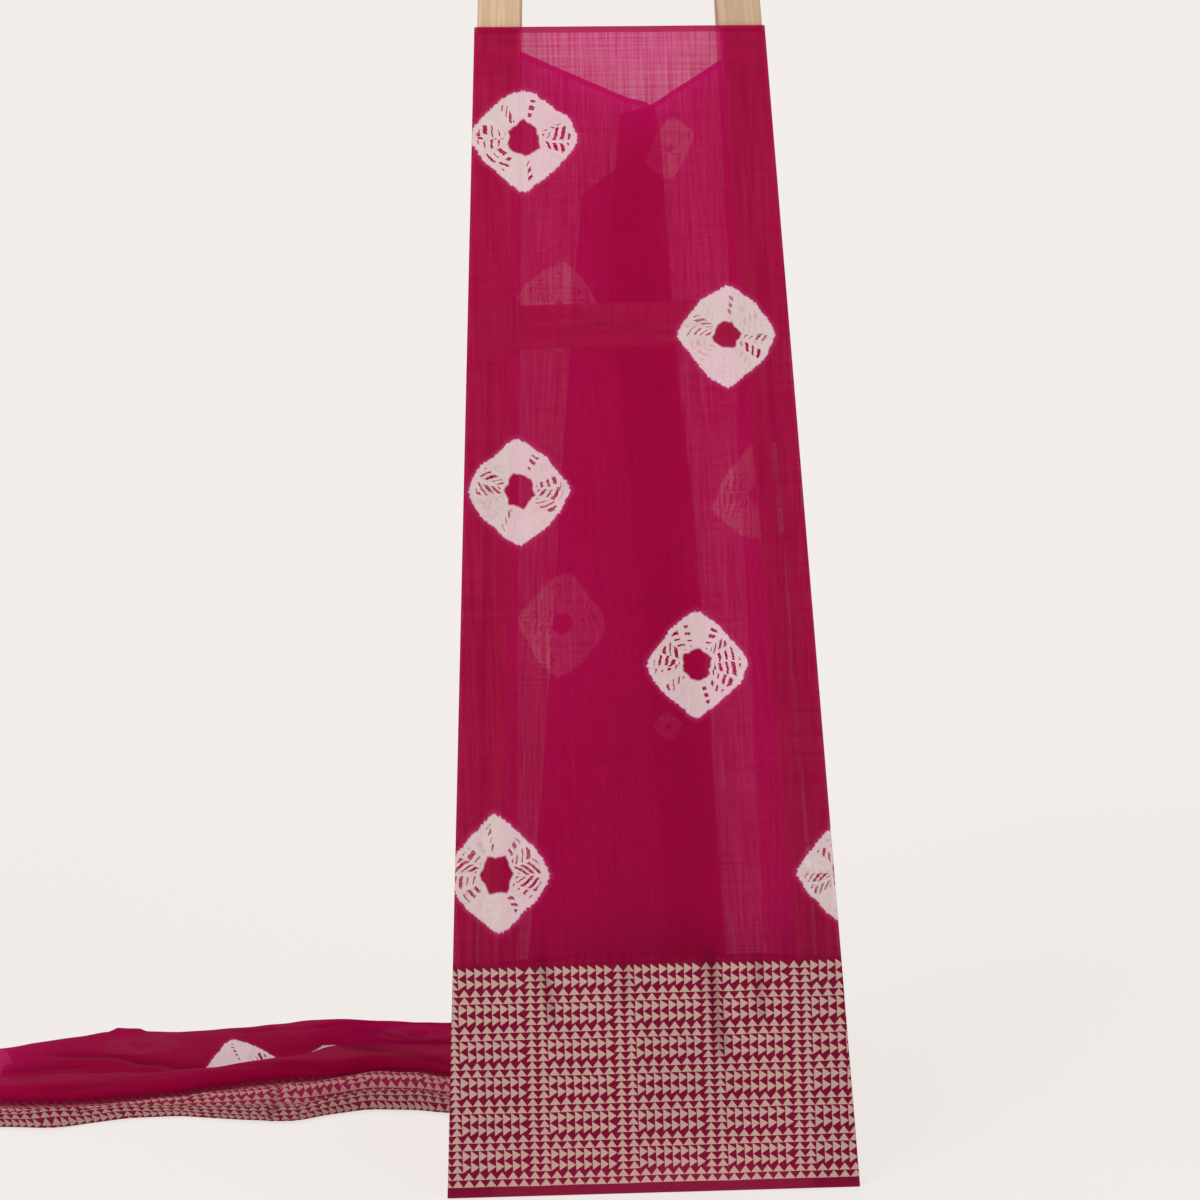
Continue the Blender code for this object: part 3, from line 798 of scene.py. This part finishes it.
often = calc(resist, "MULTIPLY_ADD", calc(resist, "POWER", level_way, 3.0), 0.60, 0.24)
busy = calc(resist, "LESS_THAN", chance(sector, seed, 0.0), often)
slant = calc(resist, "MULTIPLY_ADD", chance(sector, seed, 1.0), 4.4, -2.2)
rung = calc(resist, "MULTIPLY_ADD", radius, BARS, calc(resist, "MULTIPLY", slant, within))
rung = calc(resist, "MULTIPLY_ADD", fray, 0.35, rung)
rung_index = calc(resist, "FLOOR", rung)
rung_within = calc(resist, "ABSOLUTE", calc(resist, "SUBTRACT", calc(resist, "FRACT", rung), 0.5))
thick = calc(resist, "MULTIPLY_ADD", chance(sector, rung_index, calc(resist, "ADD", seed, 2.0)), 0.26, 0.08)
reach = calc(resist, "MULTIPLY_ADD", chance(sector, rung_index, calc(resist, "ADD", seed, 3.0)), 0.24, 0.28)
reach = calc(resist, "MULTIPLY", reach, calc(resist, "MULTIPLY_ADD", level_way, 0.70, 0.30))
beside = calc(resist, "MULTIPLY_ADD", fray, 0.2, calc(resist, "ABSOLUTE", within))
bar = calc(resist, "LESS_THAN", rung_within, thick)
for limit in (
    calc(resist, "LESS_THAN", beside, reach),
    busy,
    calc(resist, "GREATER_THAN", past_eye, CLEAR_OF_EYE),
    calc(resist, "LESS_THAN", edge, CLEAR_OF_EDGE),
):
    bar = calc(resist, "MULTIPLY", bar, limit)
unmarked = calc(resist, "SUBTRACT", 1.0, calc(resist, "MAXIMUM", eye, bar))
resist.links.new(calc(resist, "MULTIPLY", inside, unmarked), given.inputs["Pale"])
resist.links.new(rim, given.inputs["Rim"])

# Fine pleats run out from the eye
streaks = joined(resist, calc(resist, "MULTIPLY", angle, 15.0), calc(resist, "MULTIPLY", radius, 2.5), seed)
pleats = calc(resist, "MULTIPLY", noise_of(resist, streaks, 1.0, 2.0), inside)
resist.links.new(pleats, given.inputs["Pleats"])


# The border: beige metallic thread woven in as rows of small triangles. Eight upright triangles
# make one repeat; in six of them, three rows give way to two rows of eight that point along.
BORDER_TOP = 0.2170
TRIANGLE_TALL = 0.0069
TRIANGLE_WIDE = 0.01048
REPEAT = 8  # triangles
REPEAT_START = -0.180
REPEATS_BEFORE = 80  # this many more lie ahead of the start, so that no count is negative
ROWS = 30
BAND = 5  # rows, of which the first three may hold a block
BLOCK = (3, 6)  # rows, triangles
SIDEWAYS = (2, 8)  # rows, triangles that take the place of a block
TIP = 0.98
SPREAD = 1.02

border, taken, given = new_group(
    "woven triangles", [("Place", "Vector", None)], [("Thread", "Float"), ("Inside", "Float")]
)
parts = border.nodes.new("ShaderNodeSeparateXYZ")
border.links.new(taken.outputs["Place"], parts.inputs[0])
u, v = parts.outputs["X"], parts.outputs["Y"]


def pointing(tree, along, beside):
    """A triangle in a unit cell, with its base at along 0 and its tip near along 1."""
    reach = calc(tree, "MULTIPLY", calc(tree, "SUBTRACT", TIP, along), SPREAD)
    off_middle = calc(tree, "ABSOLUTE", calc(tree, "SUBTRACT", beside, 0.5))
    return calc(tree, "LESS_THAN", calc(tree, "MULTIPLY", off_middle, 2.0), reach)


sway = calc(border, "SUBTRACT", noise_of(border, taken.outputs["Place"], 22.0, 1.0), 0.5)
swayed_v = calc(border, "MULTIPLY_ADD", sway, 0.0016, v)
swayed_u = calc(border, "MULTIPLY_ADD", sway, 0.0020, u)
down = calc(border, "DIVIDE", calc(border, "SUBTRACT", BORDER_TOP, swayed_v), TRIANGLE_TALL)
over_start = REPEAT_START - REPEATS_BEFORE * REPEAT * TRIANGLE_WIDE
over = calc(border, "DIVIDE", calc(border, "SUBTRACT", swayed_u, over_start), TRIANGLE_WIDE)
band_down = calc(border, "FLOORED_MODULO", down, BAND)
repeat_over = calc(border, "FLOORED_MODULO", over, REPEAT)
block = calc(
    border,
    "MULTIPLY",
    calc(border, "LESS_THAN", band_down, BLOCK[0]),
    calc(border, "LESS_THAN", repeat_over, BLOCK[1]),
)
tip_up = calc(border, "SUBTRACT", 1.0, calc(border, "FRACT", down))
upright = pointing(border, tip_up, calc(border, "FRACT", over))
sideways = pointing(
    border,
    calc(border, "FRACT", calc(border, "MULTIPLY", repeat_over, SIDEWAYS[1] / BLOCK[1])),
    calc(border, "FRACT", calc(border, "MULTIPLY", band_down, SIDEWAYS[0] / BLOCK[0])),
)
no_block = calc(border, "SUBTRACT", 1.0, block)
thread = calc(border, "MULTIPLY_ADD", block, sideways, calc(border, "MULTIPLY", no_block, upright))
past_top = calc(border, "GREATER_THAN", down, 0.0)
covered = calc(border, "MULTIPLY", past_top, calc(border, "LESS_THAN", down, ROWS))
border.links.new(calc(border, "MULTIPLY", thread, covered), given.inputs["Thread"])
border.links.new(calc(border, "GREATER_THAN", down, -0.15), given.inputs["Inside"])


# The cloth's finish: a plain weave with slubs, see-through where it is single and dense in the
# border, where the extra thread is. The upper selvedge shows as a narrow dense line.
MAGENTA = (0.40, 0.001, 0.058, 1)
# deeper dye where it is uneven, and painted shade low down and above the border
MAGENTA_DEEP_AND_SHADED = (0.25, 0.0005, 0.034, 1)
MAGENTA_LIT = (0.84, 0.006, 0.36, 1)
IVORY = (0.90, 0.85, 0.76, 1)
IVORY_PINK = (0.78, 0.58, 0.68, 1)
RIM_VIOLET = (0.52, 0.030, 0.20, 1)
BORDER_GROUND = (0.27, 0.006, 0.046, 1)
BEIGE = (0.90, 0.63, 0.56, 1)
BEIGE_DARK = (0.70, 0.45, 0.37, 1)
BEIGE_SHADED = (0.46, 0.26, 0.24, 1)
SHEER = 0.90  # share of a single layer that threads cover
HEM = 0.006  # breadth of the dense line along the upper selvedge
HOLLOW_SHADE_COLOUR = (0.35, 0.22, 0.30, 1)
HOLLOW_SHADE = 0.55

finish = bpy.data.materials.new("dyed sheer cloth")
finish.use_nodes = True
tree = finish.node_tree
shader = tree.nodes["Principled BSDF"]


def read_map(name):
    node = tree.nodes.new("ShaderNodeUVMap")
    node.uv_map = name
    return node.outputs["UV"]


weave_place = read_map("weave")
kind = tree.nodes.new("ShaderNodeSeparateXYZ")
tree.links.new(read_map("mark_kind"), kind.inputs[0])
diamond = put_group(tree, resist, Place=read_map("mark"), Seed=kind.outputs["X"], Eye=kind.outputs["Y"])
triangles = put_group(tree, border, Place=weave_place)
warp = noise_of(tree, weave_place, 1.0, 4.0, stretch=(380.0, 11.0, 1.0))
weft = noise_of(tree, weave_place, 1.0, 3.0, stretch=(9.0, 420.0, 1.0))
cloudy = noise_of(tree, weave_place, 7.0, 2.0)
threads = calc(tree, "ADD", warp, calc(tree, "MULTIPLY_ADD", weft, 0.6, 0.2))
place_parts = tree.nodes.new("ShaderNodeSeparateXYZ")
tree.links.new(weave_place, place_parts.inputs[0])
across = place_parts.outputs["Y"]

# Painted shade: the colour is darker low down, where less light falls, and darkest just above the border,
# where less light comes through from behind. The dye's own unevenness uses the same deeper colour
low_down = calc(tree, "SUBTRACT", 1.0, ramp(tree, across, 0.18, 1.0))
beside_border = calc(tree, "SUBTRACT", 1.0, ramp(tree, across, 0.225, 0.29))
uneven = calc(tree, "MULTIPLY_ADD", cloudy, 0.4, calc(tree, "MULTIPLY_ADD", threads, 1.1, -1.2))
uneven = calc(tree, "MULTIPLY_ADD", low_down, 0.40, uneven)
uneven = calc(tree, "MULTIPLY_ADD", beside_border, 0.40, uneven, clamp=True)
dyed = blend_of(tree, uneven, MAGENTA, MAGENTA_DEEP_AND_SHADED)
dyed = blend_of(tree, calc(tree, "MULTIPLY", diamond.outputs["Rim"], 0.6), dyed, RIM_VIOLET)
worn = calc(tree, "MULTIPLY_ADD", threads, 0.9, -0.75)
worn = calc(tree, "MULTIPLY_ADD", diamond.outputs["Pleats"], 0.9, worn, clamp=True)
undyed = blend_of(tree, worn, IVORY, IVORY_PINK)
face = blend_of(tree, diamond.outputs["Pale"], dyed, undyed)
# On the floor the cloth lies rumpled in many layers, and nothing behind shows through. There its metallic
# thread is painted darker, as painted shade among the folds
lie = tree.nodes.new("ShaderNodeSeparateXYZ")
tree.links.new(tree.nodes.new("ShaderNodeTexCoord").outputs["Object"], lie.inputs[0])
low = calc(tree, "SUBTRACT", 1.0, ramp(tree, lie.outputs["Z"], 0.055, 0.085))
layered = calc(tree, "MULTIPLY", low, ramp(tree, lie.outputs["Y"], -0.12, -0.07))
mottled = calc(tree, "MULTIPLY_ADD", noise_of(tree, weave_place, 900.0, 1.0), 1.6, -0.3, clamp=True)
beige = blend_of(tree, mottled, BEIGE, BEIGE_DARK)
# Painted shade on the border where it lies on the floor
beige = blend_of(tree, calc(tree, "MULTIPLY", layered, 0.55), beige, BEIGE_SHADED)
face = blend_of(tree, triangles.outputs["Inside"], face, BORDER_GROUND)
face = blend_of(tree, triangles.outputs["Thread"], face, beige)
# Painted shade: the colour is darkened in the creases
hollows = tree.nodes.new("ShaderNodeAttribute")
hollows.attribute_name = "hollow"
hollows = calc(tree, "MULTIPLY", hollows.outputs["Fac"], HOLLOW_SHADE)
shade = tree.nodes.new("ShaderNodeMix")
shade.data_type = "RGBA"
shade.blend_type = "MULTIPLY"
tree.links.new(hollows, shade.inputs["Factor"])
tree.links.new(face, shade.inputs["A"])
shade.inputs["B"].default_value = HOLLOW_SHADE_COLOUR
face = shade.outputs["Result"]
tree.links.new(face, shader.inputs["Base Color"])
shader.inputs["Roughness"].default_value = 0.75
shader.inputs["Specular IOR Level"].default_value = 0.08

hem = calc(tree, "GREATER_THAN", across, WIDTH - HEM)
cover = calc(tree, "MULTIPLY_ADD", calc(tree, "SUBTRACT", threads, 1.0), 0.30, SHEER, clamp=True)
cover = calc(tree, "MULTIPLY_ADD", diamond.outputs["Pale"], -0.12, cover)
cover = calc(tree, "MAXIMUM", cover, calc(tree, "MULTIPLY", hem, 0.97))
cover = calc(tree, "MAXIMUM", cover, calc(tree, "MULTIPLY", layered, 0.985))
cover = calc(tree, "MAXIMUM", cover, calc(tree, "MULTIPLY", triangles.outputs["Inside"], 0.995))

bump = tree.nodes.new("ShaderNodeBump")
bump.inputs["Strength"].default_value = 0.35
bump.inputs["Distance"].default_value = 0.0004
relief = calc(tree, "MULTIPLY_ADD", triangles.outputs["Thread"], 0.8, threads)
relief = calc(tree, "MULTIPLY_ADD", diamond.outputs["Pleats"], 1.6, relief)
tree.links.new(relief, bump.inputs["Height"])
tree.links.new(bump.outputs["Normal"], shader.inputs["Normal"])

through = tree.nodes.new("ShaderNodeBsdfTranslucent")
lit = blend_of(tree, diamond.outputs["Pale"], MAGENTA_LIT, IVORY)
lit = blend_of(tree, calc(tree, "MULTIPLY", hem, 0.8), lit, MAGENTA)
lit = blend_of(tree, triangles.outputs["Inside"], lit, BORDER_GROUND)
tree.links.new(lit, through.inputs["Color"])
clear = tree.nodes.new("ShaderNodeBsdfTransparent")
body = tree.nodes.new("ShaderNodeMixShader")
tree.links.new(calc(tree, "MULTIPLY_ADD", diamond.outputs["Pale"], -0.24, 0.40), body.inputs[0])
tree.links.new(shader.outputs[0], body.inputs[1])
tree.links.new(through.outputs[0], body.inputs[2])
whole = tree.nodes.new("ShaderNodeMixShader")
tree.links.new(cover, whole.inputs[0])
tree.links.new(clear.outputs[0], whole.inputs[1])
tree.links.new(body.outputs[0], whole.inputs[2])
tree.links.new(whole.outputs[0], tree.nodes["Material Output"].inputs["Surface"])

cloth.data.materials.append(finish)
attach(cloth, "root")
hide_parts("brocade_cloth")


# The room: a pale floor that fades into an even pale backdrop, and soft studio light
BACKDROP = (0.896, 0.850, 0.823, 1)
FLOOR_REACH = 60.0
FLOOR_GLOW = 0.80  # share of the floor that shows no shadow, next to the stand
FLOOR_NEAR = 1.2
FLOOR_FAR = 3.0

bpy.ops.object.select_all(action="DESELECT")
bpy.ops.mesh.primitive_plane_add(size=FLOOR_REACH)
floor = bpy.context.object
floor.name = "floor"
ground = bpy.data.materials.new("pale floor")
ground.use_nodes = True
tree = ground.node_tree
coordinates = tree.nodes.new("ShaderNodeTexCoord")
away = tree.nodes.new("ShaderNodeVectorMath")
away.operation = "LENGTH"
tree.links.new(coordinates.outputs["Object"], away.inputs[0])
plain = tree.nodes["Principled BSDF"]
plain.inputs["Base Color"].default_value = (0.90, 0.885, 0.87, 1)
plain.inputs["Roughness"].default_value = 0.8
glow = tree.nodes.new("ShaderNodeEmission")
glow.inputs["Color"].default_value = BACKDROP
glowing = ramp(tree, away.outputs["Value"], FLOOR_NEAR, FLOOR_FAR)
glowing = calc(tree, "MULTIPLY_ADD", glowing, 1 - FLOOR_GLOW, FLOOR_GLOW)
evened = tree.nodes.new("ShaderNodeMixShader")
tree.links.new(glowing, evened.inputs[0])
tree.links.new(plain.outputs[0], evened.inputs[1])
tree.links.new(glow.outputs[0], evened.inputs[2])
tree.links.new(evened.outputs[0], tree.nodes["Material Output"].inputs["Surface"])
floor.data.materials.append(ground)

sky = bpy.data.worlds.new("backdrop")
bpy.context.scene.world = sky
sky.use_nodes = True
tree = sky.node_tree
seen = tree.nodes["Background"]
seen.inputs["Color"].default_value = BACKDROP
AMBIENT = 0.62
path = tree.nodes.new("ShaderNodeLightPath")
strength = calc(tree, "MULTIPLY_ADD", path.outputs["Is Camera Ray"], 1.0 - AMBIENT, AMBIENT)
tree.links.new(strength, seen.inputs["Strength"])

# name, place, watts, size
LAMPS = (
    ("key", (-1.3, -2.5, 2.7), 48.0, 1.8),
    ("fill", (2.4, -2.8, 2.0), 24.0, 2.4),
    ("back", (0.2, 2.6, 2.4), 30.0, 2.4),
)
for name, place, watts, size in LAMPS:
    bpy.ops.object.light_add(type="AREA", location=place)
    lamp = bpy.context.object
    lamp.name = name
    lamp.data.energy = watts
    lamp.data.size = size
    aim = Vector((0.2, -0.2, 0.5)) - Vector(place)
    lamp.rotation_euler = aim.to_track_quat("-Z", "Y").to_euler()

bpy.context.scene.view_settings.view_transform = "Standard"
